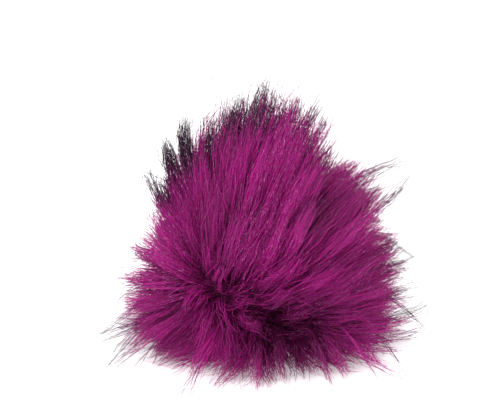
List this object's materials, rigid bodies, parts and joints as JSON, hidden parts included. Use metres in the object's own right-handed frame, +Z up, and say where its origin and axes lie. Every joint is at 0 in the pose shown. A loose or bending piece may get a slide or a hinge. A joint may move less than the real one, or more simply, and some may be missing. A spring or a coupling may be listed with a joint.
{
  "type": "faux fur pom pom",
  "caption": "Round pom pom of long, shaggy faux fur in magenta with dark-tipped guard hairs, combed up and splayed out where it stands.",
  "frame": {"origin": "middle of the flat spot that the pom pom stands on, on the surface", "axes": "+Z up, away from the surface; -Y towards the side seen first, +X to that viewer's right"},
  "size_m": [0.1581, 0.1554, 0.1203],
  "materials": {
    "fur": "long synthetic fur pile, magenta with darker roots and black-purple tips, soft sheen"
  },
  "bodies": {
    "root": {"pompom": "fur"}
  },
  "joints": []
}
